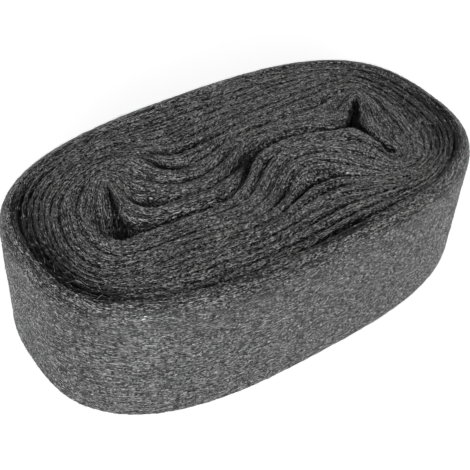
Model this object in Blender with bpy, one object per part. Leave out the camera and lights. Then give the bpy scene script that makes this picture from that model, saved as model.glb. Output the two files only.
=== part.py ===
# Steel wool bundle: one long ribbon of fine steel fibres, folded into an S at its middle
# and wound round that fold in flat turns that stand on their edges.
# Metres, +Z up. The origin is at the centre of the underside, X runs along the bundle.
import bmesh
import bpy
import numpy as np

# Overall size
LENGTH = 0.240
WIDTH = 0.1385
HEIGHT = 0.070

# Outline seen from above: 2 is an ellipse, larger is squarer
SQUARENESS = 2.8

# Turns of the ribbon from the fold outwards
TURNS = 10
INNER_TURNS = 3  # those between the fold and the guide turn

# Rounded edges of the bundle
RIM = 0.0060  # how far in from the outline the edges start to round
TOP_ROUND = 0.0070
BOTTOM_ROUND = 0.0036

# Section of the turns
GROOVE = 0.0022  # depth of the grooves between turns on the top
GROOVE_FADE = 0.75  # share by which the grooves get shallower in places
FADES_EACH_TURN = (11.0, 31.0)  # radians of the two waves of this fading
UNDER_GROOVE = 0.0014  # the same on the pressed underside
SHOULDER = 0.28  # share of a turn that each side of its rounded edge takes
CROWN_WAVE = 0.0011  # how far the edge of the ribbon wanders in height
WAVES_EACH_TURN = (2.4, 7.1)  # radians of its two waves
UNDER_LOOSE_SHARE = 0.25  # how much of a loose place shows on the underside

# The fold
SEAM_GAP = 0.0014
SEAM_DEPTH = 0.0032
UNDER_SEAM_DEPTH = 0.0020
LOW_FADE_COLUMNS = 5  # columns from a tip of the fold over which its lower side starts to sink
EYE_START = 0.5  # stations from the seam to where the fold opens into the eye
EYE_END = 0.2

# Grid of the surface
COLUMNS = 84  # round each turn
FINE_COLUMNS = 2  # columns of the settled plan for each column of the surface
JOG_COLUMNS = 8  # columns over which every turn steps out to the place of the next one
RIM_STEPS = 3
CURVE_STEPS = 30  # to each span between stations
OUTLINE_POINTS = 2000
SETTLE_STEPS = 400
BLEND_STEPS = 3  # at the guide turn
PULL = 0.9  # how far a point moves to its wanted place in one step

# The fold, from its left tip to its right tip, with the guide turn above and below each station.
# Points are shares of half the length and of half the width: upper lip, lower lip, turn above, turn below.
LEFT_TIP = ((-0.535, 0.335), (-0.535, 0.335), (-0.50, 0.58), (-0.50, 0.58))
# Along the seam the lips lie together, so a station there is one point and the turns beside it.
SEAM = (
    ((-0.547, 0.25), (-0.44, 0.575), (-0.59, 0.545)),
    ((-0.562, 0.15), (-0.395, 0.555), (-0.70, 0.44)),
    ((-0.577, 0.05), (-0.36, 0.52), (-0.79, 0.22)),
    ((-0.580, -0.05), (-0.335, 0.475), (-0.83, -0.09)),
    ((-0.553, -0.12), (-0.315, 0.42), (-0.775, -0.36)),
    ((-0.49, -0.17), (-0.305, 0.365), (-0.60, -0.41)),
    ((-0.38, -0.187), (-0.285, 0.30), (-0.43, -0.42)),
    ((-0.28, -0.193), (-0.25, 0.245), (-0.28, -0.445)),
    ((-0.18, -0.18), (-0.19, 0.228), (-0.16, -0.468)),
    ((-0.10, -0.125), (-0.125, 0.26), (-0.07, -0.44)),
    ((-0.03, -0.035), (-0.06, 0.32), (0.00, -0.38)),
    ((0.03, 0.06), (0.00, 0.37), (0.06, -0.31)),
    ((0.10, 0.12), (0.07, 0.41), (0.12, -0.24)),
    ((0.20, 0.142), (0.16, 0.435), (0.20, -0.195)),
    ((0.30, 0.13), (0.25, 0.445), (0.27, -0.215)),
    ((0.39, 0.085), (0.34, 0.45), (0.325, -0.285)),
    ((0.47, 0.03), (0.44, 0.455), (0.36, -0.37)),
)
RIGHT_EYE = (
    ((0.545, 0.05), (0.525, 0.0), (0.535, 0.465), (0.38, -0.42)),
    ((0.61, 0.16), (0.536, -0.025), (0.63, 0.47), (0.39, -0.445)),
    ((0.675, 0.23), (0.541, -0.045), (0.74, 0.42), (0.40, -0.47)),
    ((0.64, 0.115), (0.544, -0.07), (0.795, 0.20), (0.41, -0.49)),
    ((0.585, 0.0), (0.546, -0.10), (0.79, -0.06), (0.42, -0.51)),
)
RIGHT_CREASE = (
    ((0.557, -0.19), (0.765, -0.33), (0.44, -0.54)),
    ((0.557, -0.27), (0.72, -0.47), (0.465, -0.565)),
)
RIGHT_DROP = ((0.582, -0.375), (0.535, -0.37), (0.65, -0.565), (0.505, -0.59))
RIGHT_TIP = ((0.56, -0.42), (0.56, -0.42), (0.57, -0.60), (0.57, -0.60))

# Places where neighbouring turns have come apart: along, across, reach along, reach across, depth
LOOSE_PLACES = (
    (0.08, -0.68, 0.14, 0.06, 0.0040),
    (0.08, -0.84, 0.16, 0.05, 0.0045),
    (0.05, -0.92, 0.20, 0.04, 0.0040),
    (-0.45, -0.80, 0.40, 0.06, 0.0020),
    (-0.90, -0.10, 0.05, 0.60, 0.0030),
    (-0.84, 0.55, 0.10, 0.20, 0.0025),
    (0.80, -0.55, 0.12, 0.18, 0.0025),
    (0.03, -0.38, 0.09, 0.07, 0.0045),
    (-0.29, 0.30, 0.05, 0.12, 0.0045),
    (-0.43, 0.04, 0.05, 0.10, 0.0040),
    (0.20, -0.44, 0.07, 0.10, 0.0040),
    (0.01, 0.03, 0.08, 0.14, 0.0045),
    (-0.15, 0.40, 0.10, 0.14, 0.0025),
)
# Places where the turns have sunk together, in the same way
HOLLOWS = (
    (0.600, 0.10, 0.050, 0.16, 0.0030),
    (0.02, -0.30, 0.09, 0.10, 0.0020),
    (-0.87, 0.40, 0.05, 0.16, 0.0018),
    (-0.905, 0.00, 0.045, 0.30, 0.0026),
    (-0.83, -0.48, 0.07, 0.14, 0.0018),
)
# Places where only the turns on the lower side of the fold have sunk
LOW_HOLLOWS = (
    (-0.600, 0.03, 0.065, 0.17, 0.0120),
)


def on_plan(points):
    """Turn shares of half the length and width into metres."""
    return np.array(points, float) * (LENGTH / 2, WIDTH / 2)


def smooth_curve(points, steps):
    """Points along a smooth curve through the given ones, with the given steps to each span."""
    padded = np.vstack([2 * points[0] - points[1], points, 2 * points[-1] - points[-2]])
    share = np.linspace(0, 1, steps, endpoint=False)[:, None]
    spans = []
    for before, start, end, after in zip(padded[:-3], padded[1:-2], padded[2:-1], padded[3:]):
        bend = 2 * before - 5 * start + 4 * end - after
        twist = 3 * start - before - 3 * end + after
        spans.append(start + 0.5 * ((end - before) * share + bend * share**2 + twist * share**3))
    return np.vstack(spans + [points[-1:]])


def parted(stations):
    """Stations of the seam with their one point parted into two lips."""
    line = on_plan([station[0] for station in stations])
    run = np.gradient(line, axis=0)
    run /= np.linalg.norm(run, axis=1)[:, None]
    side = np.column_stack([-run[:, 1], run[:, 0]]) * SEAM_GAP / 2
    turns = [on_plan(station[1:]) for station in stations]
    return [np.vstack([point + step, point - step, pair]) for point, step, pair in zip(line, side, turns)]


def fold_stations(count):
    """Upper lip, lower lip, turn above and turn below at each column, and which columns are open."""
    left = [on_plan(LEFT_TIP)]
    seam = parted(SEAM)
    right = [on_plan(station) for station in RIGHT_EYE]
    end = parted(RIGHT_CREASE) + [on_plan(station) for station in (RIGHT_DROP, RIGHT_TIP)]
    stations = np.array(left + seam + right + end)
    curve = smooth_curve(stations.reshape(len(stations), -1), CURVE_STEPS).reshape(-1, 4, 2)
    strides = np.linalg.norm(np.diff(curve, axis=0), axis=2).mean(axis=1)
    lengths = np.append(0, np.cumsum(strides))
    wanted = np.linspace(0, lengths[-1], count)
    lines = [
        np.column_stack([np.interp(wanted, lengths, curve[:, side, axis]) for axis in range(2)])
        for side in range(4)
    ]
    station = np.interp(wanted, lengths, np.arange(len(curve)) / CURVE_STEPS)
    seam_end = len(left) + len(seam) - 1
    crease_start = seam_end + 1 + len(right)
    return lines, (station > seam_end + EYE_START) & (station < crease_start - EYE_END)


def superellipse(half_length, half_width, count):
    angle = np.linspace(0, 2 * np.pi, count, endpoint=False)
    power = 2 / SQUARENESS
    along = half_length * np.sign(np.cos(angle)) * np.abs(np.cos(angle))**power
    across = half_width * np.sign(np.sin(angle)) * np.abs(np.sin(angle))**power
    return np.column_stack([along, across])


def evenly(loop, count):
    """The given number of points at even steps round a closed line."""
    ring = np.vstack([loop, loop[:1]])
    lengths = np.append(0, np.cumsum(np.linalg.norm(np.diff(ring, axis=0), axis=1)))
    wanted = np.arange(count) / count * lengths[-1]
    return np.column_stack([np.interp(wanted, lengths, ring[:, axis]) for axis in range(2)])


def facing(loop, inner):
    """The loop at even steps, started where its points lie nearest to those of the inner loop."""
    best = None
    for start in range(0, len(loop), 4):
        turned = evenly(np.roll(loop, -start, axis=0), len(inner))
        miss = ((turned - inner)**2).sum()
        if best is None or miss < best[0]:
            best = (miss, turned)
    return best[1]


def between(inner, outer, rows):
    share = np.linspace(0, 1, rows + 1)[:, None, None]
    return inner * (1 - share) + outer * share


def settle(rings, steps):
    """Let the rings between the first and the last find even spacing without crossing."""
    for _ in range(steps):
        middle, outer, inner = rings[1:-1], rings[2:], rings[:-2]
        ahead, behind = np.roll(middle, -1, 1), np.roll(middle, 1, 1)
        out_step, along_step = (outer - inner) / 2, (ahead - behind) / 2
        along_size = (along_step**2).sum(-1, keepdims=True)
        out_size = (out_step**2).sum(-1, keepdims=True)
        lean = (out_step * along_step).sum(-1, keepdims=True)
        corner = (np.roll(outer - inner, -1, 1) - np.roll(outer - inner, 1, 1)) / 4
        wanted = along_size * (outer + inner) + out_size * (ahead + behind) - 2 * lean * corner
        wanted /= 2 * (along_size + out_size)
        rings[1:-1] = middle + PULL * (wanted - middle)
    return rings


def settled_plan():
    """Rings from the fold to the rim, two to each turn, and which columns of the fold are open."""
    count = COLUMNS * FINE_COLUMNS
    (upper, lower, above, below), is_open = fold_stations(count // 2 + 1)
    fold = np.vstack([lower, upper[-2:0:-1]])
    guide = np.vstack([below, above[-2:0:-1]])
    rim = facing(superellipse(LENGTH / 2 - RIM, WIDTH / 2 - RIM, OUTLINE_POINTS), guide)
    inside = between(fold, guide, 2 * INNER_TURNS)
    outside = settle(between(guide, rim, 2 * (TURNS - INNER_TURNS)), SETTLE_STEPS)
    rings = np.concatenate([inside, outside[1:]])
    rings[INNER_TURNS:] = settle(rings[INNER_TURNS:], BLEND_STEPS)
    return rings[:, ::FINE_COLUMNS], is_open[::FINE_COLUMNS]


def depth_at(point, places):
    """How deep the given places lie below their surroundings at a point of the plan."""
    along, across = point / (LENGTH / 2, WIDTH / 2)
    return sum(
        depth * np.exp(-((along - x) / reach_x)**2 - ((across - y) / reach_y)**2)
        for x, y, reach_x, reach_y, depth in places
    )


class Bundle:
    """The surface of the bundle, made of rows that follow the ribbon round it."""

    def __init__(self):
        self.rings, self.is_open = settled_plan()
        self.jog_start = 3 * COLUMNS // 4 - JOG_COLUMNS // 2
        self.jog_end = self.jog_start + JOG_COLUMNS
        self.mesh = bmesh.new()
        self.known = {}

    def place(self, turn, column):
        """The plan position at a distance from the fold that is given in turns."""
        row = min(max(2 * turn, 0), 2 * TURNS - 1e-9)
        inner = int(row)
        share = row - inner
        return self.rings[inner][column] * (1 - share) + self.rings[inner + 1][column] * share

    def crown(self, point, column, wound):
        """Height of the ribbon's upper edge after the given number of turns."""
        slow, quick = WAVES_EACH_TURN
        wave = CROWN_WAVE * (1 - np.sin(slow * wound) * np.cos(quick * wound)) / 2
        from_tip = min(column, COLUMNS // 2 - column)
        low_side = min(max(from_tip / LOW_FADE_COLUMNS, 0), 1)
        return HEIGHT - wave - depth_at(point, HOLLOWS) - low_side * depth_at(point, LOW_HOLLOWS)

    def section(self, turn, column, wound, on_top):
        """Heights of the groove inside a turn and of its shoulders."""
        point = self.place(turn, column)
        loose = depth_at(point, LOOSE_PLACES)
        if not on_top:
            return UNDER_GROOVE + loose * UNDER_LOOSE_SHARE, 0.0
        crown = self.crown(point, column, wound)
        slow, quick = FADES_EACH_TURN
        fade = GROOVE_FADE * (1 + np.sin(slow * wound) * np.cos(quick * wound)) / 2
        return crown - GROOVE * (1 - fade) - loose, crown

    def edge_height(self, column, on_top):
        """Height of the fold's lip at a column."""
        if not on_top:
            return UNDER_SEAM_DEPTH
        point = self.rings[0][column]
        return self.crown(point, column, 0) - SEAM_DEPTH - depth_at(point, LOOSE_PLACES)

    def rows(self, column, on_top, jog=None):
        """Points from the fold to the rim at a column. The jog is the share of a turn stepped out so far."""
        column %= COLUMNS
        lip = self.edge_height(column, on_top)
        rim = HEIGHT if on_top else 0.0
        steps = TURNS if jog is None else TURNS + 1
        since_jog = (column - self.jog_end) % COLUMNS / COLUMNS
        points = []
        for turn in range(steps):
            if jog is None:
                start, end, wound = turn, turn + 1, turn + since_jog
            else:
                start, end = max(turn - 1 + jog, 0), min(turn + jog, TURNS)
                wound = turn - (1 - jog) * JOG_COLUMNS / COLUMNS
            groove, shoulder = self.section(start, column, wound, on_top)
            if turn == 0:
                groove = lip
                shoulder = lip + (shoulder - lip) * min(end, 1)
            if jog is not None and turn == 1:
                groove = lip + (groove - lip) * jog
            if end - start < 1 and turn == TURNS:
                groove = groove + (rim - groove) * jog
                shoulder = shoulder + (rim - shoulder) * jog
            for share, height in ((0, groove), (SHOULDER, shoulder), (1 - SHOULDER, shoulder)):
                points.append((*self.place(start + (end - start) * share, column), height))
        points.append((*self.place(TURNS, column), rim))
        return points

    def rim_rows(self, column, on_top):
        """Points round the edge, from the inner side of the rim to the wall."""
        ring = self.rings[-1]
        run = ring[(column + 1) % COLUMNS] - ring[column - 1]
        out = np.array([run[1], -run[0]]) / np.linalg.norm(run)
        points = []
        for angle in np.linspace(0, np.pi / 2, RIM_STEPS + 1):
            fall = 1 - np.cos(angle)
            height = HEIGHT - TOP_ROUND * fall if on_top else BOTTOM_ROUND * fall
            points.append((*(ring[column] + out * RIM * np.sin(angle)), height))
        return points

    def vertex(self, point):
        key = tuple(round(value, 7) for value in point)
        if key not in self.known:
            self.known[key] = self.mesh.verts.new(point)
        return self.known[key]

    def face(self, points):
        """A face through the points, less those that coincide."""
        corners = list(dict.fromkeys(self.vertex(point) for point in points))
        if len(corners) > 2:
            self.mesh.faces.new(corners)

    def strip(self, before, after):
        """Faces between two rows of points at neighbouring columns."""
        for near, near_next, far, far_next in zip(before, before[1:], after, after[1:]):
            self.face((near, near_next, far_next, far))

    def add_turns(self, on_top):
        for column in range(self.jog_end, self.jog_start + COLUMNS):
            self.strip(self.rows(column, on_top), self.rows(column + 1, on_top))
        for step in range(JOG_COLUMNS):
            before = self.rows(self.jog_start + step, on_top, step / JOG_COLUMNS)
            after = self.rows(self.jog_start + step + 1, on_top, (step + 1) / JOG_COLUMNS)
            self.strip(before, after)

    def add_wall(self):
        for column in range(COLUMNS):
            after = (column + 1) % COLUMNS
            down = [self.rim_rows(c, True) + self.rim_rows(c, False)[::-1] for c in (column, after)]
            self.strip(down[0], down[1])

    def add_fold(self):
        """Close the seam and the crease near the top and the underside, and line the open eye."""
        half = COLUMNS // 2
        lips = {
            on_top: [
                [(*self.rings[0][column % COLUMNS], self.edge_height(column % COLUMNS, on_top))
                 for column in (station, -station)]
                for station in range(half + 1)
            ]
            for on_top in (True, False)
        }
        for station in range(half):
            top, top_next = lips[True][station:station + 2]
            base, base_next = lips[False][station:station + 2]
            if self.is_open[station] and self.is_open[station + 1]:
                self.face((top[0], top_next[0], base_next[0], base[0]))
                self.face((top[1], top_next[1], base_next[1], base[1]))
            else:
                self.face((top[0], top_next[0], top_next[1], top[1]))
                self.face((base[0], base_next[0], base_next[1], base[1]))
        for station in range(1, half):
            beside = self.is_open[station - 1] and self.is_open[station + 1]
            if self.is_open[station] and not beside:
                top, base = lips[True][station], lips[False][station]
                self.face((top[0], top[1], base[1], base[0]))


def steel_wool():
    material = bpy.data.materials.new("steel_wool")
    material.use_nodes = True
    shader = material.node_tree.nodes["Principled BSDF"]
    shader.inputs["Base Color"].default_value = (0.13, 0.13, 0.13, 1)
    shader.inputs["Metallic"].default_value = 0.85
    shader.inputs["Roughness"].default_value = 0.55
    return material


def main():
    for old in list(bpy.data.objects):
        bpy.data.objects.remove(old)
    bundle = Bundle()
    bundle.add_turns(True)
    bundle.add_turns(False)
    bundle.add_wall()
    bundle.add_fold()
    bmesh.ops.recalc_face_normals(bundle.mesh, faces=bundle.mesh.faces)
    mesh = bpy.data.meshes.new("steel_wool_ribbon")
    bundle.mesh.to_mesh(mesh)
    bundle.mesh.free()
    mesh.shade_smooth()
    mesh.materials.append(steel_wool())
    ribbon = bpy.data.objects.new("steel_wool_ribbon", mesh)
    bpy.context.scene.collection.objects.link(ribbon)


main()
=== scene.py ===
import bmesh
import bpy
import numpy as np
from mathutils import Matrix, Vector, noise


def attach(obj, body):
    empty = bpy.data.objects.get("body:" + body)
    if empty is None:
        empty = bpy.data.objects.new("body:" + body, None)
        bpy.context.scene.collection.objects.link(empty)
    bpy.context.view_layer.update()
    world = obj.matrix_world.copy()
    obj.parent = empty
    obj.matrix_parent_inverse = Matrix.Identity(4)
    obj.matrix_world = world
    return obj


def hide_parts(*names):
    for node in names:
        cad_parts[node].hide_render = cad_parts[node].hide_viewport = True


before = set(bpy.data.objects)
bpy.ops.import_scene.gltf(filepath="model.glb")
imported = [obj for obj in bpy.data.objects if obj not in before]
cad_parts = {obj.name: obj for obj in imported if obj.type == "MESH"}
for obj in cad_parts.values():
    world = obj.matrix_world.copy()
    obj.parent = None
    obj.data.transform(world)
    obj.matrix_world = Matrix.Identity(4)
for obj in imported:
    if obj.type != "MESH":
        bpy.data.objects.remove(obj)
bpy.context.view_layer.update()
print("frame loaded")

scene = bpy.context.scene
scene.view_settings.view_transform = "Standard"

# camera
view = {  # angles in radians
    "azimuth": -0.657007,
    "elevation": 0.758775,
    "roll": 0.0670,
    "distance": 0.49714,
    "aside": -0.004509,
    "above": 0.016762,
    "focalShare": 2.0048,  # focal length as a share of the picture's width
    "sensor": 36.0,
}


def addCamera():
    azimuth, elevation, roll = view["azimuth"], view["elevation"], view["roll"]
    flat = np.cos(elevation)
    back = Vector((np.sin(azimuth) * flat, -np.cos(azimuth) * flat, np.sin(elevation)))
    right = Vector((np.cos(azimuth), np.sin(azimuth), 0))
    up = back.cross(right)
    place = back * view["distance"] + right * view["aside"] + up * view["above"]
    turnedRight = right * np.cos(roll) + up * np.sin(roll)
    turnedUp = up * np.cos(roll) - right * np.sin(roll)
    data = bpy.data.cameras.new("camera")
    data.sensor_width = view["sensor"]
    data.lens = view["sensor"] * view["focalShare"]
    camera = bpy.data.objects.new("camera", data)
    turned = Matrix((turnedRight, turnedUp, back)).transposed().to_4x4()
    camera.matrix_world = Matrix.Translation(place) @ turned
    scene.collection.objects.link(camera)
    scene.camera = camera


addCamera()
print("camera placed")

# the plan of the turns
size = {
    "length": 0.240,
    "width": 0.1385,
    "height": 0.070,
    "squareness": 2.8,  # 2 is an ellipse, larger is squarer
    "turns": 10,
    "innerTurns": 3,  # those between the fold and the guide turn
    "rim": 0.0060,  # how far in from the outline the edges start to round
    "topRound": 0.0070,
    "bottomRound": 0.0036,
    "groove": 0.0022,  # depth of the grooves between turns on the top
    "grooveFade": 0.75,  # how much shallower the grooves get in places
    "fadesEachTurn": (11.0, 31.0),  # radians of the two waves of this fading
    "underGroove": 0.0014,
    "crownWave": 0.0011,  # how far the edge of the ribbon wanders in height
    "wavesEachTurn": (2.4, 7.1),  # radians of its two waves
    "underLooseShare": 0.25,  # how much of a loose place shows on the underside
    "seamGap": 0.0014,
    "seamDepth": 0.0032,
    "underSeamDepth": 0.0020,
    "lowFade": 5,  # columns from a tip of the fold over which its lower side starts to sink
    "eyeStart": 0.5,  # stations from the seam to where the fold opens into the eye
    "eyeEnd": 0.2,
}
grid = {
    "columns": 84,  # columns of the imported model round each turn
    "planColumns": 2,  # columns of the settled plan for each of those
    "jogColumns": 8,  # columns over which every turn steps out to the place of the next one
    "curveSteps": 30,
    "outlinePoints": 2000,
    "settleSteps": 400,
    "blendSteps": 3,
    "pull": 0.9,  # how far a point moves to its wanted place in one step
    "fine": 6,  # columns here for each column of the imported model
    "rowsEachTurn": 13,
    "rimRows": 8,
    "wallRows": 11,
    "underRimRows": 4,
    "underRowsEachTurn": 3,
    "eyeRows": 12,
    "merge": 1e-6,  # vertices nearer than this become one
    "leastSpan": 1e-6,  # share of a turn, so that where one starts nothing is divided by zero
    "slack": 1e-9,  # keeps rounding from moving a row to another turn, and a length from being zero
    "patch": (0.001, 0.004),  # piece of texture on the faces that close the fold and the eye
}

# The fold from its left tip to its right tip, with the guide turn above and below each station, as
# shares of half the length and half the width: upper lip, lower lip, turn above, turn below. Along seam
# and rightCrease the lips lie together, so a station there is one point and the turns beside it.
leftTip = ((-0.535, 0.335), (-0.535, 0.335), (-0.50, 0.58), (-0.50, 0.58))
seam = (
    ((-0.547, 0.25), (-0.44, 0.575), (-0.59, 0.545)),
    ((-0.562, 0.15), (-0.395, 0.555), (-0.70, 0.44)),
    ((-0.577, 0.05), (-0.36, 0.52), (-0.79, 0.22)),
    ((-0.580, -0.05), (-0.335, 0.475), (-0.83, -0.09)),
    ((-0.553, -0.12), (-0.315, 0.42), (-0.775, -0.36)),
    ((-0.49, -0.17), (-0.305, 0.365), (-0.60, -0.41)),
    ((-0.38, -0.187), (-0.285, 0.30), (-0.43, -0.42)),
    ((-0.28, -0.193), (-0.25, 0.245), (-0.28, -0.445)),
    ((-0.18, -0.18), (-0.19, 0.228), (-0.16, -0.468)),
    ((-0.10, -0.125), (-0.125, 0.26), (-0.07, -0.44)),
    ((-0.03, -0.035), (-0.06, 0.32), (0.00, -0.38)),
    ((0.03, 0.06), (0.00, 0.37), (0.06, -0.31)),
    ((0.10, 0.12), (0.07, 0.41), (0.12, -0.24)),
    ((0.20, 0.142), (0.16, 0.435), (0.20, -0.195)),
    ((0.30, 0.13), (0.25, 0.445), (0.27, -0.215)),
    ((0.39, 0.085), (0.34, 0.45), (0.325, -0.285)),
    ((0.47, 0.03), (0.44, 0.455), (0.36, -0.37)),
)
rightEye = (
    ((0.545, 0.05), (0.525, 0.0), (0.535, 0.465), (0.38, -0.42)),
    ((0.61, 0.16), (0.536, -0.025), (0.63, 0.47), (0.39, -0.445)),
    ((0.675, 0.23), (0.541, -0.045), (0.74, 0.42), (0.40, -0.47)),
    ((0.64, 0.115), (0.544, -0.07), (0.795, 0.20), (0.41, -0.49)),
    ((0.585, 0.0), (0.546, -0.10), (0.79, -0.06), (0.42, -0.51)),
)
rightCrease = (
    ((0.557, -0.19), (0.765, -0.33), (0.44, -0.54)),
    ((0.557, -0.27), (0.72, -0.47), (0.465, -0.565)),
)
rightDrop = ((0.582, -0.375), (0.535, -0.37), (0.65, -0.565), (0.505, -0.59))
rightTip = ((0.56, -0.42), (0.56, -0.42), (0.57, -0.60), (0.57, -0.60))

# Places where turns have come apart: along, across, reach along, reach across, depth
loosePlaces = (
    (0.08, -0.68, 0.14, 0.06, 0.0040),
    (0.08, -0.84, 0.16, 0.05, 0.0045),
    (0.05, -0.92, 0.20, 0.04, 0.0040),
    (-0.45, -0.80, 0.40, 0.06, 0.0020),
    (-0.90, -0.10, 0.05, 0.60, 0.0030),
    (-0.84, 0.55, 0.10, 0.20, 0.0025),
    (0.80, -0.55, 0.12, 0.18, 0.0025),
    (0.03, -0.38, 0.09, 0.07, 0.0045),
    (-0.29, 0.30, 0.05, 0.12, 0.0045),
    (-0.43, 0.04, 0.05, 0.10, 0.0040),
    (0.20, -0.44, 0.07, 0.10, 0.0040),
    (0.01, 0.03, 0.08, 0.14, 0.0045),
    (-0.15, 0.40, 0.10, 0.14, 0.0025),
)
# Places where the turns have sunk together, in the same way
hollows = (
    (0.600, 0.10, 0.050, 0.16, 0.0030),
    (0.02, -0.30, 0.09, 0.10, 0.0020),
    (-0.87, 0.40, 0.05, 0.16, 0.0018),
    (-0.905, 0.00, 0.045, 0.30, 0.0026),
    (-0.83, -0.48, 0.07, 0.14, 0.0018),
)
# Places where only the lower side of the fold has sunk
lowHollows = (
    (-0.600, 0.03, 0.065, 0.17, 0.0120),
)

halfSize = np.array((size["length"] / 2, size["width"] / 2))


def onPlan(points):
    return np.array(points, float) * halfSize


def between(inner, outer, rows):
    share = np.linspace(0, 1, rows + 1)[:, None, None]
    return inner * (1 - share) + outer * share


def spline(before, start, end, after, share):
    bend = 2 * before - 5 * start + 4 * end - after
    twist = 3 * start - before - 3 * end + after
    return start + 0.5 * ((end - before) * share + bend * share**2 + twist * share**3)


def smoothCurve(points, steps):
    padded = np.vstack([2 * points[0] - points[1], points, 2 * points[-1] - points[-2]])
    share = np.linspace(0, 1, steps, endpoint=False)[:, None]
    spans = [spline(*four, share) for four in zip(padded[:-3], padded[1:-2], padded[2:-1], padded[3:])]
    return np.vstack(spans + [points[-1:]])


def parted(stations):
    line = onPlan([station[0] for station in stations])
    run = np.gradient(line, axis=0)
    run /= np.linalg.norm(run, axis=1)[:, None]
    side = np.column_stack([-run[:, 1], run[:, 0]]) * size["seamGap"] / 2
    turns = [onPlan(station[1:]) for station in stations]
    return [np.vstack([point + step, point - step, pair]) for point, step, pair in zip(line, side, turns)]


def foldStations(count):
    left = [onPlan(leftTip)]
    middle = parted(seam)
    right = [onPlan(station) for station in rightEye]
    end = parted(rightCrease) + [onPlan(station) for station in (rightDrop, rightTip)]
    stations = np.array(left + middle + right + end)
    curve = smoothCurve(stations.reshape(len(stations), -1), grid["curveSteps"]).reshape(-1, 4, 2)
    strides = np.linalg.norm(np.diff(curve, axis=0), axis=2).mean(axis=1)
    lengths = np.append(0, np.cumsum(strides))
    wanted = np.linspace(0, lengths[-1], count)
    lines = [
        np.column_stack([np.interp(wanted, lengths, curve[:, side, axis]) for axis in range(2)])
        for side in range(4)
    ]
    station = np.interp(wanted, lengths, np.arange(len(curve)) / grid["curveSteps"])
    seamEnd = len(left) + len(middle) - 1
    creaseStart = seamEnd + 1 + len(right)
    return lines, (station > seamEnd + size["eyeStart"]) & (station < creaseStart - size["eyeEnd"])


def superellipse(half, count):
    angle = np.linspace(0, 2 * np.pi, count, endpoint=False)
    power = 2 / size["squareness"]
    along, across = np.cos(angle), np.sin(angle)
    return half * np.column_stack([np.sign(side) * np.abs(side)**power for side in (along, across)])


def evenly(loop, count):
    ring = np.vstack([loop, loop[:1]])
    lengths = np.append(0, np.cumsum(np.linalg.norm(np.diff(ring, axis=0), axis=1)))
    wanted = np.arange(count) / count * lengths[-1]
    return np.column_stack([np.interp(wanted, lengths, ring[:, axis]) for axis in range(2)])


def facing(loop, inner):
    best = None
    for start in range(0, len(loop), 4):
        turned = evenly(np.roll(loop, -start, axis=0), len(inner))
        miss = ((turned - inner)**2).sum()
        if best is None or miss < best[0]:
            best = (miss, turned)
    return best[1]


def settle(rings, steps):
    for _ in range(steps):
        middle, outer, inner = rings[1:-1], rings[2:], rings[:-2]
        ahead, behind = np.roll(middle, -1, 1), np.roll(middle, 1, 1)
        outStep, alongStep = (outer - inner) / 2, (ahead - behind) / 2
        alongSize = (alongStep**2).sum(-1, keepdims=True)
        outSize = (outStep**2).sum(-1, keepdims=True)
        lean = (outStep * alongStep).sum(-1, keepdims=True)
        corner = (np.roll(outer - inner, -1, 1) - np.roll(outer - inner, 1, 1)) / 4
        wanted = alongSize * (outer + inner) + outSize * (ahead + behind) - 2 * lean * corner
        wanted /= 2 * (alongSize + outSize)
        rings[1:-1] = middle + grid["pull"] * (wanted - middle)
    return rings


def settledPlan():
    count = grid["columns"] * grid["planColumns"]
    (upper, lower, above, below), isOpen = foldStations(count // 2 + 1)
    fold = np.vstack([lower, upper[-2:0:-1]])
    guide = np.vstack([below, above[-2:0:-1]])
    rim = facing(superellipse(halfSize - size["rim"], grid["outlinePoints"]), guide)
    inside = between(fold, guide, 2 * size["innerTurns"])
    outside = settle(between(guide, rim, 2 * (size["turns"] - size["innerTurns"])), grid["settleSteps"])
    rings = np.concatenate([inside, outside[1:]])
    rings[size["innerTurns"]:] = settle(rings[size["innerTurns"]:], grid["blendSteps"])
    return rings, isOpen[::grid["planColumns"]]


def finerColumns(rings, steps):
    share = (np.arange(steps) / steps)[None, None, :, None]
    around = [np.roll(rings, shift, 1)[:, :, None] for shift in (1, 0, -1, -2)]
    return spline(*around, share).reshape(len(rings), -1, 2)


def ringsAt(rings, rows):
    padded = np.concatenate([2 * rings[:1] - rings[1:2], rings, 2 * rings[-1:] - rings[-2:-1]])
    inner = np.minimum(rows.astype(int), len(rings) - 2)
    share = (rows - inner)[:, None, None]
    return spline(padded[inner], padded[inner + 1], padded[inner + 2], padded[inner + 3], share)


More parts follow.
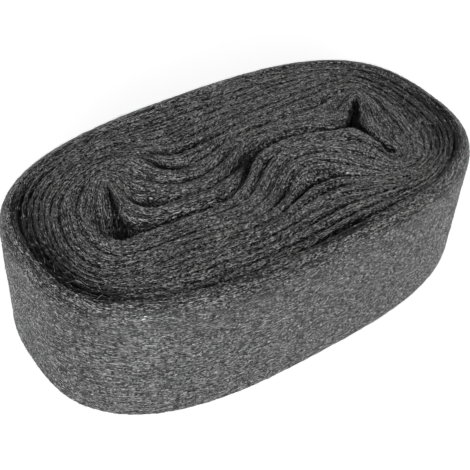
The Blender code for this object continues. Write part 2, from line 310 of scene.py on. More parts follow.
# the wool body
relief = {
    "grooveSharpness": 3.6,
    "plies": 3,  # fine layers in each turn
    "plyDepth": 0.00035,
    "plySharpness": 0.7,
    # usual share of that depth, its swing, and how fast it swings: radians a turn, radians from turn to turn
    "plyWave": (0.6, 0.4, 37, 3),
    "plySpan": (0.05, 0.95),  # shares of a turn's thickness between which it has plies
    "lump": 0.0006,
    "lumpReach": 0.012,
    "lumpSeed": 3.1,
    "lumpLevel": 0.6,  # noise value that stays where it is, as in the wall's below
    "edgeFade": 0.020,  # way down from the rim over which the wool gets lighter, from the top's colour, kept darker partly as painted shade, to the wall's
    "underLight": 0.5,
    "wallLump": 0.0003,
    "wallLumpReach": (0.030, 0.004),
    "wallLumpLevel": 0.5,
    "wallLumpFoot": 0.006,  # height over the floor up to which the lumps get less
    "rimPaintedShadow": (0.0028, -0.0045, 0.0040),  # painted shadow just inside the rim: depth that darkens as much, place out from the rim, reach
    "paintedShadowSide": (0.5, -0.2),  # shares of half the width between which the painted shadow grows towards the front
    # painted shade where the turns bend round the ends and their fibres turn from the light: the same at the
    # left end and at the right one, and the shares of half the length between which it grows
    "endPaintedShade": (0.0012, 0.0027, 0.70, 0.82),
    "seamTurns": 0.5,  # turns from the fold over which the next two values hold
    "seamFade": 0.6,  # how much of the seam's painted shade goes, apart from the places below
    "seamDark": ((0.02, 0.07), (-0.60, 0.15), (0.60, 0.12)),  # places that keep the seam's painted shade: along half the length, reach
    "paintedShades": (1.0, 2.1, 0.4, 0.6),  # painted shade by grooves, by their bottoms, by loose places, by hollows
    "fineSharpness": 4.5,  # how narrow the bottoms of the grooves are
    "sunkPaintedShade": 0.16,  # share of the sunk side's depth that darkens it as painted shade
    # painted shade over the faces that line the eye
    "eyePaintedShade": 0.003,
    "fullPaintedShade": 0.006,  # painted shade, as a depth, that the materials read as 1
    "bareFoot": (0.004, 0.007),  # heights over the floor up to which fibres and hairs get fewer
    "barePaintedShade": 0.0065,  # painted shade, as a depth, under which hardly any fibre lies
    "bareLeast": 0.1,  # share of the fibres that always stays
}


def bumps(points, reach, seed):
    return np.array([noise.noise(Vector(point) / reach + Vector((seed, 0, 0))) for point in points])


class Wool:
    def __init__(self):
        rings, isOpen = settledPlan()
        self.count = grid["columns"] * grid["fine"]
        self.rings = finerColumns(rings, grid["fine"] // grid["planColumns"])
        half = self.count // 2
        stations = np.arange(half + 1) / grid["fine"]
        low, high = np.floor(stations).astype(int), np.ceil(stations).astype(int)
        self.isOpen = isOpen[low] & isOpen[high]
        jogStart = (3 * grid["columns"] // 4 - grid["jogColumns"] // 2) * grid["fine"]
        jogSpan = grid["jogColumns"] * grid["fine"]
        column = np.arange(self.count)
        self.lowSide = np.clip(np.minimum(column, half - column) / (size["lowFade"] * grid["fine"]), 0, 1)
        self.jog = np.clip((column - jogStart) / jogSpan, 0, 1)
        self.jog[column >= jogStart + jogSpan] = 1
        self.jog[column < jogStart] = 1
        self.inJog = (column >= jogStart) & (column < jogStart + jogSpan)
        self.sinceJog = (column - jogStart - jogSpan) % self.count / self.count
        self.jogShare = jogSpan / self.count

    def depthOf(self, places, points):
        along, across = np.moveaxis(points / halfSize, -1, 0)
        return sum(
            depth * np.exp(-((along - x) / reachX)**2 - ((across - y) / reachY)**2)
            for x, y, reachX, reachY, depth in places
        )

    def crown(self, points, wound):
        slow, quick = size["wavesEachTurn"]
        wave = size["crownWave"] * (1 - np.sin(slow * wound) * np.cos(quick * wound)) / 2
        sunk = self.depthOf(hollows, points) + self.depthOf(lowHollows, points) * self.lowSide
        return size["height"] - wave - sunk

    def heights(self, points, turns, onTop):
        rows, count = points.shape[:2]
        turn = np.repeat(turns[:, None], count, axis=1)
        jog = np.where(self.inJog, self.jog, 1.0)[None, :].repeat(rows, axis=0)
        inJog = self.inJog[None, :].repeat(rows, axis=0)
        stepped = np.clip(turn + 1 - jog, 0, None)
        last = np.where(inJog, size["turns"], size["turns"] - 1)
        number = np.minimum(np.floor(stepped + grid["slack"]), last)
        start = np.where(inJog, np.maximum(number - 1 + jog, 0), number)
        end = np.where(inJog, np.minimum(number + jog, size["turns"]), number + 1)
        phase = np.clip((turn - start) / np.maximum(end - start, grid["leastSpan"]), 0, 1)
        wound = np.where(inJog, number - (1 - jog) * self.jogShare, number + self.sinceJog[None, :])
        loose = self.depthOf(loosePlaces, points)
        self.phase, self.number, self.wound, self.loose = phase, number, wound, loose
        dent = np.abs(2 * phase - 1)**relief["grooveSharpness"]
        if onTop:
            crown = self.crown(points, wound)
            lip = self.crown(points[:1], wound[:1] * 0) - size["seamDepth"] - loose[:1]
            slow, quick = size["fadesEachTurn"]
            fade = size["grooveFade"] * (1 + np.sin(slow * wound) * np.cos(quick * wound)) / 2
            groove = size["groove"] * (1 - fade) + loose
            rim = size["height"]
        else:
            crown = np.zeros_like(turn)
            lip = np.full((1, count), size["underSeamDepth"])
            groove = -(size["underGroove"] + loose * size["underLooseShare"])
            rim = 0.0
        inner = phase < 0.5
        depth = groove * dent
        height = crown - depth
        first = number == 0
        height = np.where(first & inner, crown + (lip - crown) * dent, height)
        height = np.where(first, lip + (height - lip) * np.where(inJog, jog, 1), height)
        outerSide = (number == size["turns"] - 1) & ~inner
        lift = np.where(inJog, jog, 1)
        height = np.where(outerSide, height + depth * lift + (rim - crown) * dent * lift, height)
        outermost = inJog & (number == size["turns"])
        height = np.where(outermost & ~inner, crown + (rim - crown) * dent, height)
        height = np.where(outermost, height + (rim - height) * jog, height)
        self.depth = np.abs(crown - height)
        return height

    def rimRows(self, onTop, steps):
        ring = self.rings[-1]
        run = np.roll(ring, -1, 0) - np.roll(ring, 1, 0)
        out = np.column_stack([run[:, 1], -run[:, 0]]) / np.linalg.norm(run, axis=1)[:, None]
        rows = []
        for angle in np.linspace(0, np.pi / 2, steps + 1):
            fall = 1 - np.cos(angle)
            height = size["height"] - size["topRound"] * fall if onTop else size["bottomRound"] * fall
            plan = ring + out * size["rim"] * np.sin(angle)
            rows.append(np.column_stack([plan, np.full(self.count, height)]))
        return np.array(rows)


def layTop(wool):
    turns = size["turns"]
    topTurns = np.linspace(0, turns, turns * grid["rowsEachTurn"] + 1)
    plan = ringsAt(wool.rings, 2 * topTurns)
    heights = wool.heights(plan, topTurns, True)
    paintedShade = topPaintedShade(wool, plan, topTurns)
    ply = np.abs(np.sin(np.pi * wool.phase * relief["plies"]))**relief["plySharpness"]
    usual, swing, waves, shift = relief["plyWave"]
    wave = usual + swing * np.sin(waves * wool.wound + shift * wool.number)
    first, last = relief["plySpan"]
    heights = heights - relief["plyDepth"] * (1 - ply) * wave * (wool.phase > first) * (wool.phase < last)
    top = np.concatenate([plan, heights[..., None]], axis=-1)
    lumps = bumps(top.reshape(-1, 3), relief["lumpReach"], relief["lumpSeed"]).reshape(heights.shape)
    settleIn = np.minimum(1, topTurns)[:, None] * np.minimum(1, turns - topTurns)[:, None]
    top[..., 2] += relief["lump"] * (lumps - relief["lumpLevel"]) * settleIn
    top[..., 2] = np.minimum(top[..., 2], size["height"])
    return top, paintedShade


# painted shade on the top: darker in grooves, their bottoms, loose places, hollows and the fold's sunk side,
# with less of it along the seam apart from the listed places
def topPaintedShade(wool, plan, topTurns):
    lengthwise = plan[..., 0] / halfSize[0]
    kept = [np.exp(-((lengthwise - place) / reach)**2) for place, reach in relief["seamDark"]]
    faded = relief["seamFade"] * (1 - np.max(kept, axis=0)) * (topTurns < relief["seamTurns"])[:, None]
    wide, fine, looseShare, hollowShare = relief["paintedShades"]
    grooves = wide + fine * np.abs(2 * wool.phase - 1)**relief["fineSharpness"]
    paintedShade = grooves * wool.depth * (1 - faded) + looseShare * wool.loose
    sunk = wool.depthOf(lowHollows, plan) * wool.lowSide
    paintedShade += hollowShare * wool.depthOf(hollows, plan) + relief["sunkPaintedShade"] * sunk
    return paintedShade


def layWall(wool):
    topRim = wool.rimRows(True, grid["rimRows"])
    underRim = wool.rimRows(False, grid["underRimRows"])[::-1]
    share = np.linspace(0, 1, grid["wallRows"] + 1)[1:-1, None, None]
    wall = topRim[-1] * (1 - share) + underRim[0] * share
    around = np.concatenate([topRim[1:], wall, underRim[:-1]])

    # soft layers run round the bundle
    run = np.roll(wool.rings[-1], -1, 0) - np.roll(wool.rings[-1], 1, 0)
    out = np.column_stack([run[:, 1], -run[:, 0], np.zeros(wool.count)])
    out /= np.linalg.norm(out, axis=1)[:, None]
    lengths = np.cumsum(np.linalg.norm(run, axis=1)) / 2
    longReach, shortReach = relief["wallLumpReach"]
    angle = lengths / lengths[-1] * 2 * np.pi
    radius = lengths[-1] / (2 * np.pi * longReach)
    for row in around:
        spots = np.column_stack([np.cos(angle) * radius, np.sin(angle) * radius, row[:, 2] / shortReach])
        swell = np.array([noise.noise(Vector(spot)) for spot in spots])
        fade = np.clip(row[:, 2] / relief["wallLumpFoot"], 0, 1)
        row += out * (relief["wallLump"] * (swell - relief["wallLumpLevel"]) * fade)[:, None]
    return around


def layUnder(wool):
    turns = size["turns"]
    underTurns = np.linspace(turns, 0, turns * grid["underRowsEachTurn"] + 1)
    plan = ringsAt(wool.rings, 2 * underTurns)
    heights = wool.heights(plan, underTurns, False)
    return np.concatenate([plan, heights[..., None]], axis=-1)


def textureCorners(places):
    return np.stack([np.column_stack(place) for place in places], axis=1)


def sewSheet(count, zones, along, rowAcross):
    column = np.arange(count)
    after = (column + 1) % count
    zoneAlong = [along[first:last + 1].mean(axis=0) for first, last in zip(zones, zones[1:])]
    faces, corners = [], []
    for row in range(zones[-1] - 1):
        near, far = row * count, (row + 1) * count
        faces.append(np.column_stack([near + column, near + after, far + after, far + column]))
        ahead = zoneAlong[sum(row >= zone for zone in zones[1:])]
        corners.append(textureCorners(
            (ahead[c], np.full(count, rowAcross[r]))
            for r, c in ((row, column), (row, column + 1), (row + 1, column + 1), (row + 1, column))
        ))
    return faces, corners


def sewEye(wool, levels, firstAlong):
    count, half = wool.count, wool.count // 2
    column = np.arange(count)
    after = (column + 1) % count
    openColumn = np.zeros(count, bool)
    openColumn[:half + 1] = wool.isOpen
    openColumn[-np.arange(1, half)] = wool.isOpen[1:half]
    lined = column[openColumn & openColumn[after]]
    drop = np.linspace(0, size["height"], len(levels))
    faces, corners = [], []
    for level, (low, high) in enumerate(zip(levels, levels[1:])):
        low, high = low * count, high * count
        faces.append(np.column_stack([low + lined, high + lined, high + after[lined], low + after[lined]]))
        corners.append(textureCorners(
            (firstAlong[c], np.full(len(lined), -drop[d]))
            for d, c in ((level, lined), (level + 1, lined), (level + 1, lined + 1), (level, lined + 1))
        ))
    return faces, corners


def closeFold(wool, levels, firstAlong):
    count, half = wool.count, wool.count // 2
    wide, tall = grid["patch"]
    faces, corners = [], []
    for station in range(half):
        if wool.isOpen[station] and wool.isOpen[station + 1]:
            continue
        start, end = firstAlong[station], firstAlong[station + 1]
        quad = (station, station + 1, -(station + 1) % count, -station % count)
        for row in (levels[0], levels[-1]):
            faces.append([row * count + c for c in quad])
            corners.append([(start, 0.0), (end, 0.0), (end, wide), (start, wide)])
    for station in range(1, half):
        inside = wool.isOpen[station - 1] and wool.isOpen[station + 1]
        if wool.isOpen[station] and not inside:
            twin = -station % count
            for low, high in zip(levels, levels[1:]):
                low, high = low * count, high * count
                faces.append([low + station, high + station, high + twin, low + twin])
                corners.append([(0.0, 0.0), (0.0, tall), (wide, tall), (wide, 0.0)])
    return [np.array(faces)], [np.array(corners)]


def woolValues(sheet, lining, wallStart, wallEnd, paintedShadeOnTop, fromRim):
    rows = len(sheet)
    height = np.concatenate([sheet, lining])[..., 2]
    paintedShade, light, onTop, onWall = (np.zeros(height.shape) for _ in range(4))
    onTop[:wallStart] = 1
    onWall[wallStart:wallEnd] = 1

    paintedShade[:wallStart] = paintedShadeOnTop
    # painted shadow inside the rim, growing towards the front
    deepest, place, reach = relief["rimPaintedShadow"]
    start, end = relief["paintedShadowSide"]
    towardsFront = np.clip((sheet[..., 1] / halfSize[1] - start) / (end - start), 0, 1)
    paintedShade[:rows] += deepest * np.exp(-((fromRim - place) / reach)**2) * towardsFront
    # painted shade where the turns bend round the two ends
    leftPaintedShade, rightPaintedShade, start, end = relief["endPaintedShade"]
    lengthwise = sheet[:wallStart, :, 0]
    atEnd = np.clip((np.abs(lengthwise) / halfSize[0] - start) / (end - start), 0, 1)
    outwards = np.clip(-fromRim[:wallStart] / reach, 0, 1)
    paintedShade[:wallStart] += np.where(lengthwise < 0, leftPaintedShade, rightPaintedShade) * atEnd * outwards
    # painted shade over the faces that line the fold's eye
    paintedShade[rows:] = relief["eyePaintedShade"]

    # the top's colour, darker than the wall's partly from the ribbon edges' own look and partly as painted
    # shade, gives way to the wall's over edgeFade down the rim; the underside takes half of each
    light[:rows] = np.clip(fromRim / relief["edgeFade"], 0, 1)
    light[wallEnd:rows] = relief["underLight"]
    fibreFoot, hairFoot = relief["bareFoot"]
    return {
        "light": light,
        # fibres on the top thin out where the painted shade is deep, so that it shows through
        "top": onTop * np.clip(1 - paintedShade / relief["barePaintedShade"], relief["bareLeast"], 1),
        "wall": onWall * np.clip(height / fibreFoot, 0, 1),
        "outside": (onTop + onWall) * np.clip(height / hairFoot - 1, 0, 1),
        # the painted shade, read by the material as 'depth'
        "depth": paintedShade / relief["fullPaintedShade"],
    }


def woolMesh():
    wool = Wool()
    count = wool.count
    top, paintedShadeOnTop = layTop(wool)
    around = layWall(wool)
    sheet = np.concatenate([top, around, layUnder(wool)])
    wallStart, wallEnd, rows = len(top), len(top) + len(around), len(sheet)
    share = np.linspace(0, 1, grid["eyeRows"] + 1)[1:-1, None, None]
    lining = sheet[0] * (1 - share) + sheet[-1] * share

    # how far each place lies along and across the ribbon's edge
    strides = np.linalg.norm(np.roll(sheet, -1, 1) - sheet, axis=-1)
    along = np.concatenate([np.zeros((rows, 1)), np.cumsum(strides, axis=1)], axis=1)
    climbs = np.linalg.norm(np.diff(sheet[..., :2], axis=0), axis=-1)
    onWall = slice(wallStart - 1, wallEnd)
    climbs[onWall] = np.linalg.norm(np.diff(sheet, axis=0)[onWall], axis=-1)
    across = np.concatenate([np.zeros((1, count)), np.cumsum(climbs, axis=0)])
    rowAcross = np.append(0, np.cumsum(climbs.mean(axis=1)))

    levels = [0] + [rows + step for step in range(len(lining))] + [rows - 1]
    sewn = (
        sewSheet(count, (0, wallStart - 1, wallEnd - 1, rows), along, rowAcross),
        sewEye(wool, levels, along[0]),
        closeFold(wool, levels, along[0]),
    )
    faces, corners = (np.concatenate([part for parts in kind for part in parts]) for kind in zip(*sewn))
    mesh = bpy.data.meshes.new("wool_body")
    mesh.from_pydata(np.concatenate([sheet, lining]).reshape(-1, 3).tolist(), [], faces.tolist())
    layer = mesh.uv_layers.new(name="ribbon")
    layer.data.foreach_set("uv", corners.reshape(-1).astype(np.float32))

    values = woolValues(sheet, lining, wallStart, wallEnd, paintedShadeOnTop, across - across[wallStart - 1])
    for name, numbers in values.items():
        flat = numbers.reshape(-1).astype(np.float32)
        mesh.attributes.new(name, "FLOAT", "POINT").data.foreach_set("value", flat)
    tangent = np.roll(sheet, -1, 1) - np.roll(sheet, 1, 1)
    tangent = np.concatenate([tangent, np.repeat(tangent[:1], len(lining), axis=0)]).reshape(-1, 3)
    tangent /= np.maximum(np.linalg.norm(tangent, axis=1), grid["slack"])[:, None]
    flat = tangent.reshape(-1).astype(np.float32)
    mesh.attributes.new("along", "FLOAT_VECTOR", "POINT").data.foreach_set("vector", flat)

    shape = bmesh.new()
    shape.from_mesh(mesh)
    bmesh.ops.remove_doubles(shape, verts=shape.verts, dist=grid["merge"])
    loneVertices = [vertex for vertex in shape.verts if not vertex.link_faces]
    bmesh.ops.delete(shape, geom=loneVertices, context="VERTS")
    bmesh.ops.recalc_face_normals(shape, faces=shape.faces)
    shape.to_mesh(mesh)
    shape.free()
    mesh.shade_smooth()
    return mesh


# materials
bodyLook = {
    "dark": (0.004, 0.004, 0.004, 1),
    "light": (0.87, 0.87, 0.86, 1),
    "wallDark": (0.030, 0.030, 0.030, 1),
    "wallLight": (0.49, 0.49, 0.48, 1),
    "paintedShade": 0.88,  # how dark the deepest painted shade gets
    "paintedShadeEdges": (0.0, 0.8),
    "metallic": 0.9,
    "roughness": 0.5,
    "anisotropic": 0.5,
    "anisotropicTurn": 0.25,
    # the strands' and the layers' numbers are the slant in degrees, the length and the width
    "strands": ((2, 0.0034, 0.00025), (14, 0.0024, 0.00023), (-12, 0.0024, 0.00023)),
    "wallStrands": ((1, 0.0070, 0.00021), (9, 0.0045, 0.00020), (-8, 0.0045, 0.00020)),
    "edges": (0.63, 0.72),
    "strandDetail": 1.0,
    "layerDetail": 2.0,
    "noiseRoughness": 0.6,
    "layers": (2, 0.026, 0.0010),
    "layerEdges": (0.38, 0.56),
    "layerWeight": 0.85,
    "plies": (-3, 0.018, 0.00055),
    "plyEdges": (0.34, 0.52),
    "plyWeight": 0.6,
    "wallLayerWeight": 0.16,
    "bump": 0.0004,
}


def link(tree, source, target):
    tree.links.new(source, target)


def maths(tree, operation, first, second):
    made = tree.nodes.new("ShaderNodeMath")
    made.operation = operation
    for socket, value in zip(made.inputs, (first, second)):
        if isinstance(value, bpy.types.NodeSocket):
            link(tree, value, socket)
        else:
            socket.default_value = value
    return made.outputs[0]


def strandNoise(tree, coordinates, detail, degrees, length, width):
    mapping = tree.nodes.new("ShaderNodeMapping")
    mapping.vector_type = "TEXTURE"
    mapping.inputs["Rotation"].default_value = (0, 0, np.radians(degrees))
    mapping.inputs["Scale"].default_value = (length, width, 1)
    link(tree, coordinates, mapping.inputs["Vector"])
    made = tree.nodes.new("ShaderNodeTexNoise")
    made.noise_dimensions = "2D"
    made.inputs["Scale"].default_value = 1.0
    made.inputs["Detail"].default_value = detail
    made.inputs["Roughness"].default_value = bodyLook["noiseRoughness"]
    link(tree, mapping.outputs["Vector"], made.inputs["Vector"])
    return made.outputs["Fac"]


def ramp(tree, value, low, high):
    made = tree.nodes.new("ShaderNodeMapRange")
    made.interpolation_type = "SMOOTHSTEP"
    made.inputs["From Min"].default_value = low
    made.inputs["From Max"].default_value = high
    link(tree, value, made.inputs["Value"])
    return made.outputs["Result"]


def attribute(tree, name):
    made = tree.nodes.new("ShaderNodeAttribute")
    made.attribute_name = name
    return made.outputs["Fac"]


def mixColours(tree, share, first, second):
    made = tree.nodes.new("ShaderNodeMix")
    made.data_type = "RGBA"
    link(tree, share, made.inputs["Factor"])
    for socket, value in zip((made.inputs[6], made.inputs[7]), (first, second)):
        if isinstance(value, bpy.types.NodeSocket):
            link(tree, value, socket)
        else:
            socket.default_value = value
    return made.outputs[2]


def woolMaterial():
    material = bpy.data.materials.new("steel_wool_mat")
    material.use_nodes = True
    tree = material.node_tree
    shader = tree.nodes["Principled BSDF"]
    uv = tree.nodes.new("ShaderNodeUVMap")
    uv.uv_map = "ribbon"
    ribbon = uv.outputs["UV"]
    strands = []
    for kind in ("strands", "wallStrands"):
        most = None
        for strand in bodyLook[kind]:
            one = strandNoise(tree, ribbon, bodyLook["strandDetail"], *strand)
            most = one if most is None else maths(tree, "MAXIMUM", most, one)
        strands.append(ramp(tree, most, *bodyLook["edges"]))
    layers = strandNoise(tree, ribbon, bodyLook["layerDetail"], *bodyLook["layers"])
    layers = ramp(tree, layers, *bodyLook["layerEdges"])
    # painted shade from the 'depth' attribute darkens the top's colour
    depth = ramp(tree, attribute(tree, "depth"), *bodyLook["paintedShadeEdges"])
    shades = []
    for weight, strand in zip((bodyLook["layerWeight"], bodyLook["wallLayerWeight"]), strands):
        layered = maths(tree, "ADD", maths(tree, "MULTIPLY", layers, weight), 1 - weight)
        shades.append(maths(tree, "MULTIPLY", strand, layered))
    plies = strandNoise(tree, ribbon, bodyLook["layerDetail"], *bodyLook["plies"])
    plies = ramp(tree, plies, *bodyLook["plyEdges"])
    weight = bodyLook["plyWeight"]
    plied = maths(tree, "ADD", maths(tree, "MULTIPLY", plies, weight), 1 - weight)
    shades[0] = maths(tree, "MULTIPLY", shades[0], plied)
    outOfPaintedShade = maths(tree, "SUBTRACT", 1.0, maths(tree, "MULTIPLY", depth, bodyLook["paintedShade"]))
    lit = maths(tree, "MULTIPLY", shades[0], outOfPaintedShade)
    topColour = mixColours(tree, lit, bodyLook["dark"], bodyLook["light"])
    wallColour = mixColours(tree, shades[1], bodyLook["wallDark"], bodyLook["wallLight"])
    # the 'light' attribute blends from the top's colour, darkened partly by painted shade, to the wall's
    link(tree, mixColours(tree, attribute(tree, "light"), topColour, wallColour), shader.inputs["Base Color"])
    shader.inputs["Metallic"].default_value = bodyLook["metallic"]
    shader.inputs["Roughness"].default_value = bodyLook["roughness"]
    shader.inputs["Anisotropic"].default_value = bodyLook["anisotropic"]
    shader.inputs["Anisotropic Rotation"].default_value = bodyLook["anisotropicTurn"]
    tangent = tree.nodes.new("ShaderNodeTangent")
    tangent.direction_type = "UV_MAP"
    tangent.uv_map = "ribbon"
    link(tree, tangent.outputs["Tangent"], shader.inputs["Tangent"])
    bump = tree.nodes.new("ShaderNodeBump")
    bump.inputs["Distance"].default_value = bodyLook["bump"]
    bump.inputs["Strength"].default_value = 1.0
    link(tree, shades[0], bump.inputs["Height"])
    link(tree, bump.outputs["Normal"], shader.inputs["Normal"])
    return material


def plainMaterial(name, colour, metallic, roughness):
    material = bpy.data.materials.new(name)
    material.use_nodes = True
    shader = material.node_tree.nodes["Principled BSDF"]
    shader.inputs["Base Color"].default_value = (*colour, 1)
    shader.inputs["Metallic"].default_value = metallic
    shader.inputs["Roughness"].default_value = roughness
    return material


body = bpy.data.objects.new("wool_body", woolMesh())
scene.collection.objects.link(body)
body.data.materials.append(woolMaterial())
print("wool_body", sum(len(face.vertices) - 2 for face in body.data.polygons), "triangles")

# fibres
fibreNoise = {
    "bendScale": 260.0,
    "bendDetail": 1.0,
    "shadeScale": 900.0,
    "shadeEdges": (0.35, 0.75),
}
# density per square metre, scatter to the sides and rise in radians, colour from the darkest to the lightest
fibrePieces = {
    "wall_fibres": {
        "where": "wall", "density": 195000.0, "length": (0.0025, 0.008), "radius": 0.00005, "points": 4,
        "scatter": 0.34, "rise": 0.03, "lift": (-0.00005, 0.00015), "bend": 0.0007, "seed": 11,
        "colour": (0.05, 0.37), "metallic": 0.7, "roughness": 0.4,
    },
    "wall_glints": {
        "where": "wall", "density": 360000.0, "length": (0.0010, 0.0050), "radius": 0.00006, "points": 2,
        "scatter": 0.26, "rise": 0.15, "lift": (0.0, 0.00020), "bend": 0.0, "seed": 23,
        "colour": (0.04, 0.85), "metallic": 0.7, "roughness": 0.4,
    },
    "top_fibres": {
        "where": "top", "density": 320000.0, "length": (0.002, 0.007), "radius": 0.00005, "points": 4,
        "scatter": 0.50, "rise": 0.12, "lift": (-0.0002, 0.0003), "bend": 0.0008, "seed": 37,
        "colour": (0.02, 0.30), "metallic": 0.7, "roughness": 0.4,
    },
    "top_glints": {
        "where": "top", "density": 700000.0, "length": (0.0007, 0.0026), "radius": 0.00007, "points": 2,
        "scatter": 0.42, "rise": 0.20, "lift": (-0.0002, 0.0003), "bend": 0.0, "seed": 53,
        "colour": (0.02, 0.95), "metallic": 0.7, "roughness": 0.3,
    },
    "loose_hairs": {
        "where": "outside", "density": 15000.0, "length": (0.0025, 0.0085), "radius": 0.00005, "points": 9,
        "scatter": 0.9, "rise": 0.08, "lift": (0.0001, 0.0004), "bend": 0.0032, "seed": 71,
        "colour": (0.40, 0.95), "metallic": 0.7, "roughness": 0.3,
    },
}


def fibreTree():
    tree = bpy.data.node_groups.new("fibres", "GeometryNodeTree")
    face = tree.interface
    face.new_socket("Geometry", in_out="INPUT", socket_type="NodeSocketGeometry")
    kinds = {
        "Where": "NodeSocketString", "Density": "NodeSocketFloat", "Shortest": "NodeSocketFloat",
        "Longest": "NodeSocketFloat", "Radius": "NodeSocketFloat", "Scatter": "NodeSocketFloat",
        "Rise": "NodeSocketFloat", "Lowest": "NodeSocketFloat", "Highest": "NodeSocketFloat",
        "Bend": "NodeSocketFloat", "Points": "NodeSocketInt", "Seed": "NodeSocketInt",
        "Material": "NodeSocketMaterial",
    }
    for name, kind in kinds.items():
        face.new_socket(name, in_out="INPUT", socket_type=kind)
    face.new_socket("Geometry", in_out="OUTPUT", socket_type="NodeSocketGeometry")

    def add(kind, **settings):
        made = tree.nodes.new(kind)
        for name, value in settings.items():
            setattr(made, name, value)
        return made

    given = add("NodeGroupInput").outputs
    result = add("NodeGroupOutput")

    def randomValue(low, high, step):
        made = add("FunctionNodeRandomValue", data_type="FLOAT")
        floats = [socket for socket in made.inputs if socket.type == "VALUE"]
        for socket, value in zip(floats[:2], (low, high)):
            if isinstance(value, bpy.types.NodeSocket):
                link(tree, value, socket)
            else:
                socket.default_value = value
        seeds = add("FunctionNodeIntegerMath", operation="ADD")
        link(tree, given["Seed"], seeds.inputs[0])
        seeds.inputs[1].default_value = step
        link(tree, seeds.outputs[0], made.inputs["Seed"])
        return [socket for socket in made.outputs if socket.type == "VALUE"][0]

    def negative(value):
        made = add("ShaderNodeMath", operation="MULTIPLY")
        link(tree, value, made.inputs[0])
        made.inputs[1].default_value = -1.0
        return made.outputs[0]

    share = add("GeometryNodeInputNamedAttribute", data_type="FLOAT")
    link(tree, given["Where"], share.inputs["Name"])
    thick = add("ShaderNodeMath", operation="MULTIPLY")
    link(tree, share.outputs["Attribute"], thick.inputs[0])
    link(tree, given["Density"], thick.inputs[1])
    scatter = add("GeometryNodeDistributePointsOnFaces", distribute_method="RANDOM")
    link(tree, given["Geometry"], scatter.inputs["Mesh"])
    link(tree, thick.outputs[0], scatter.inputs["Density"])
    link(tree, given["Seed"], scatter.inputs["Seed"])

    lift = add("ShaderNodeVectorMath", operation="SCALE")
    link(tree, scatter.outputs["Normal"], lift.inputs["Vector"])
    link(tree, randomValue(given["Lowest"], given["Highest"], 1), lift.inputs["Scale"])
    placed = add("GeometryNodeSetPosition")
    link(tree, scatter.outputs["Points"], placed.inputs["Geometry"])
    link(tree, lift.outputs["Vector"], placed.inputs["Offset"])

    along = add("GeometryNodeInputNamedAttribute", data_type="FLOAT_VECTOR")
    along.inputs["Name"].default_value = "along"
    facingOut = add("FunctionNodeAlignRotationToVector", axis="Z")
    link(tree, scatter.outputs["Normal"], facingOut.inputs["Vector"])
    facingOn = add("FunctionNodeAlignRotationToVector", axis="X", pivot_axis="Z")
    link(tree, facingOut.outputs["Rotation"], facingOn.inputs["Rotation"])
    link(tree, along.outputs["Attribute"], facingOn.inputs["Vector"])
    turn = add("ShaderNodeCombineXYZ")
    link(tree, randomValue(negative(given["Rise"]), given["Rise"], 2), turn.inputs["Y"])
    link(tree, randomValue(negative(given["Scatter"]), given["Scatter"], 3), turn.inputs["Z"])
    asRotation = add("FunctionNodeEulerToRotation")
    link(tree, turn.outputs[0], asRotation.inputs[0])
    turned = add("FunctionNodeRotateRotation", rotation_space="LOCAL")
    link(tree, facingOn.outputs["Rotation"], turned.inputs["Rotation"])
    link(tree, asRotation.outputs[0], turned.inputs["Rotate By"])

    line = add("GeometryNodeCurvePrimitiveLine")
    line.inputs["Start"].default_value = (-0.5, 0, 0)
    line.inputs["End"].default_value = (0.5, 0, 0)
    stepped = add("GeometryNodeResampleCurve")
    link(tree, line.outputs["Curve"], stepped.inputs["Curve"])
    link(tree, given["Points"], stepped.inputs["Count"])
    copies = add("GeometryNodeInstanceOnPoints")
    link(tree, placed.outputs["Geometry"], copies.inputs["Points"])
    link(tree, stepped.outputs["Curve"], copies.inputs["Instance"])
    link(tree, turned.outputs["Rotation"], copies.inputs["Rotation"])
    stretch = randomValue(given["Shortest"], given["Longest"], 4)
    link(tree, stretch, copies.inputs["Scale"])
    real = add("GeometryNodeRealizeInstances")
    link(tree, copies.outputs["Instances"], real.inputs["Geometry"])

    spot = add("GeometryNodeInputPosition")
    wild = add("ShaderNodeTexNoise", noise_dimensions="3D")
    wild.inputs["Scale"].default_value = fibreNoise["bendScale"]
    wild.inputs["Detail"].default_value = fibreNoise["bendDetail"]
    link(tree, spot.outputs["Position"], wild.inputs["Vector"])
    centred = add("ShaderNodeVectorMath", operation="SUBTRACT")
    link(tree, wild.outputs["Color"], centred.inputs[0])
    centred.inputs[1].default_value = (0.5, 0.5, 0.5)
    scaled = add("ShaderNodeVectorMath", operation="SCALE")
    link(tree, centred.outputs["Vector"], scaled.inputs["Vector"])
    link(tree, given["Bend"], scaled.inputs["Scale"])
    bent = add("GeometryNodeSetPosition")
    link(tree, real.outputs["Geometry"], bent.inputs["Geometry"])
    link(tree, scaled.outputs["Vector"], bent.inputs["Offset"])

    circle = add("GeometryNodeCurvePrimitiveCircle")
    circle.inputs["Resolution"].default_value = 3
    link(tree, given["Radius"], circle.inputs["Radius"])
    tubes = add("GeometryNodeCurveToMesh")
    link(tree, bent.outputs["Geometry"], tubes.inputs["Curve"])
    link(tree, circle.outputs["Curve"], tubes.inputs["Profile Curve"])
    tubes.inputs["Fill Caps"].default_value = True
    smooth = add("GeometryNodeSetShadeSmooth")
    link(tree, tubes.outputs["Mesh"], smooth.inputs["Geometry"])
    whole = add("GeometryNodeRealizeInstances")
    link(tree, smooth.outputs["Geometry"], whole.inputs["Geometry"])
    dressed = add("GeometryNodeSetMaterial")
    link(tree, whole.outputs["Geometry"], dressed.inputs["Geometry"])
    link(tree, given["Material"], dressed.inputs["Material"])
    link(tree, dressed.outputs["Geometry"], result.inputs["Geometry"])
    return tree


fibreNodes = fibreTree()


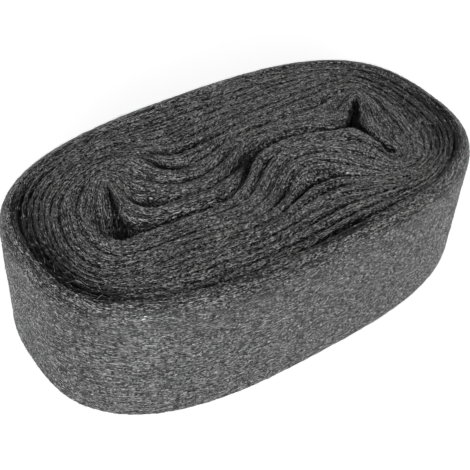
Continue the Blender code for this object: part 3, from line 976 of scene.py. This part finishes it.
def fibreMaterial(name, look):
    material = plainMaterial(name, (1, 1, 1), look["metallic"], look["roughness"])
    tree = material.node_tree
    coordinates = tree.nodes.new("ShaderNodeTexCoord")
    spread = tree.nodes.new("ShaderNodeTexNoise")
    spread.inputs["Scale"].default_value = fibreNoise["shadeScale"]
    spread.inputs["Detail"].default_value = 0.0
    link(tree, coordinates.outputs["Object"], spread.inputs["Vector"])
    bright = ramp(tree, spread.outputs["Fac"], *fibreNoise["shadeEdges"])
    colours = [(shade, shade, shade, 1) for shade in look["colour"]]
    link(tree, mixColours(tree, bright, *colours), tree.nodes["Principled BSDF"].inputs["Base Color"])
    return material


def addFibres(name, look):
    material = fibreMaterial(name + "_steel", look)
    carrier = bpy.data.objects.new(name + "_carrier", body.data.copy())
    scene.collection.objects.link(carrier)
    modifier = carrier.modifiers.new("fibres", "NODES")
    modifier.node_group = fibreNodes
    values = {
        "Where": look["where"], "Density": look["density"], "Shortest": look["length"][0],
        "Longest": look["length"][1], "Radius": look["radius"], "Scatter": look["scatter"],
        "Rise": look["rise"], "Lowest": look["lift"][0], "Highest": look["lift"][1],
        "Bend": look["bend"], "Points": look["points"], "Seed": look["seed"], "Material": material,
    }
    for socket in fibreNodes.interface.items_tree:
        if socket.in_out == "INPUT" and socket.name in values:
            modifier[socket.identifier] = values[socket.name]
    evaluated = carrier.evaluated_get(bpy.context.evaluated_depsgraph_get())
    mesh = bpy.data.meshes.new_from_object(evaluated)
    mesh.name = name
    for extra in list(mesh.attributes):
        if not extra.is_required and not extra.is_internal:
            if extra.name not in ("sharp_face", "material_index"):
                mesh.attributes.remove(extra)
    made = bpy.data.objects.new(name, mesh)
    scene.collection.objects.link(made)
    bpy.data.objects.remove(carrier)
    print(name, sum(len(face.vertices) - 2 for face in mesh.polygons), "triangles")
    return made


fibres = [addFibres(name, look) for name, look in fibrePieces.items()]

# floor, world and lamps
studio = {
    "world": 0.24,
    "floorReach": 3.0,
    "floorColour": 0.85,
    "floorRoughness": 0.9,
    "floorGlow": 0.68,  # lifts the floor to white where the camera sees it
    "underPart": (0.75, 0.90),  # shares of half the part's size between which the floor starts to glow
    "aimHeight": 0.03,
    # name, place, width, watts and colour
    "lamps": (
        ("key", (-0.66, -1.10, 0.42), 1.0, 18.5, (0.97, 0.985, 1.0)),
        ("fill", (1.1, -0.9, 0.45), 1.0, 0.3, (1.0, 0.93, 0.45)),
        ("above", (-0.3, 0.2, 1.6), 1.4, 2.0, (1.0, 1.0, 1.0)),
    ),
}


def behindLook(tree):
    path = tree.nodes.new("ShaderNodeLightPath")
    either = maths(tree, "MAXIMUM", path.outputs["Is Camera Ray"], path.outputs["Is Glossy Ray"])
    return maths(tree, "MAXIMUM", either, path.outputs["Is Transmission Ray"])


def addStage():
    world = bpy.data.worlds.new("studio")
    world.use_nodes = True
    scene.world = world
    background = world.node_tree.nodes["Background"]
    sky = world.node_tree
    strength = maths(sky, "MULTIPLY", behindLook(sky), 1.0 - studio["world"])
    link(sky, maths(sky, "ADD", strength, studio["world"]), background.inputs["Strength"])
    background.inputs["Color"].default_value = (1, 1, 1, 1)
    mesh = bpy.data.meshes.new("floor")
    reach = studio["floorReach"]
    edge = [(-reach, -reach, 0), (reach, -reach, 0), (reach, reach, 0), (-reach, reach, 0)]
    mesh.from_pydata(edge, [], [(0, 1, 2, 3)])
    floor = bpy.data.objects.new("floor", mesh)
    scene.collection.objects.link(floor)
    paint = plainMaterial("floor_white", (studio["floorColour"],) * 3, 0.0, studio["floorRoughness"])
    shader = paint.node_tree.nodes["Principled BSDF"]
    shader.inputs["Emission Color"].default_value = (1, 1, 1, 1)
    tree = paint.node_tree
    coordinates = tree.nodes.new("ShaderNodeTexCoord")
    shrunk = tree.nodes.new("ShaderNodeVectorMath")
    shrunk.operation = "DIVIDE"
    shrunk.inputs[1].default_value = (*halfSize, 1)
    link(tree, coordinates.outputs["Object"], shrunk.inputs[0])
    reachOut = tree.nodes.new("ShaderNodeVectorMath")
    reachOut.operation = "LENGTH"
    link(tree, shrunk.outputs["Vector"], reachOut.inputs[0])
    clear = ramp(tree, reachOut.outputs["Value"], *studio["underPart"])
    glow = maths(tree, "MULTIPLY", maths(tree, "MULTIPLY", behindLook(tree), clear), studio["floorGlow"])
    link(tree, glow, shader.inputs["Emission Strength"])
    mesh.materials.append(paint)
    for name, place, width, power, colour in studio["lamps"]:
        data = bpy.data.lights.new(name, "AREA")
        data.shape = "DISK"
        data.size = width
        data.energy = power
        data.color = colour
        lamp = bpy.data.objects.new(name, data)
        lamp.location = place
        aim = Vector((0, 0, studio["aimHeight"])) - Vector(place)
        lamp.rotation_euler = aim.to_track_quat("-Z", "Y").to_euler()
        scene.collection.objects.link(lamp)


addStage()
print("floor, world and lamps added")

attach(body, "root")
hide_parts("steel_wool_ribbon")
for piece in fibres:
    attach(piece, "root")
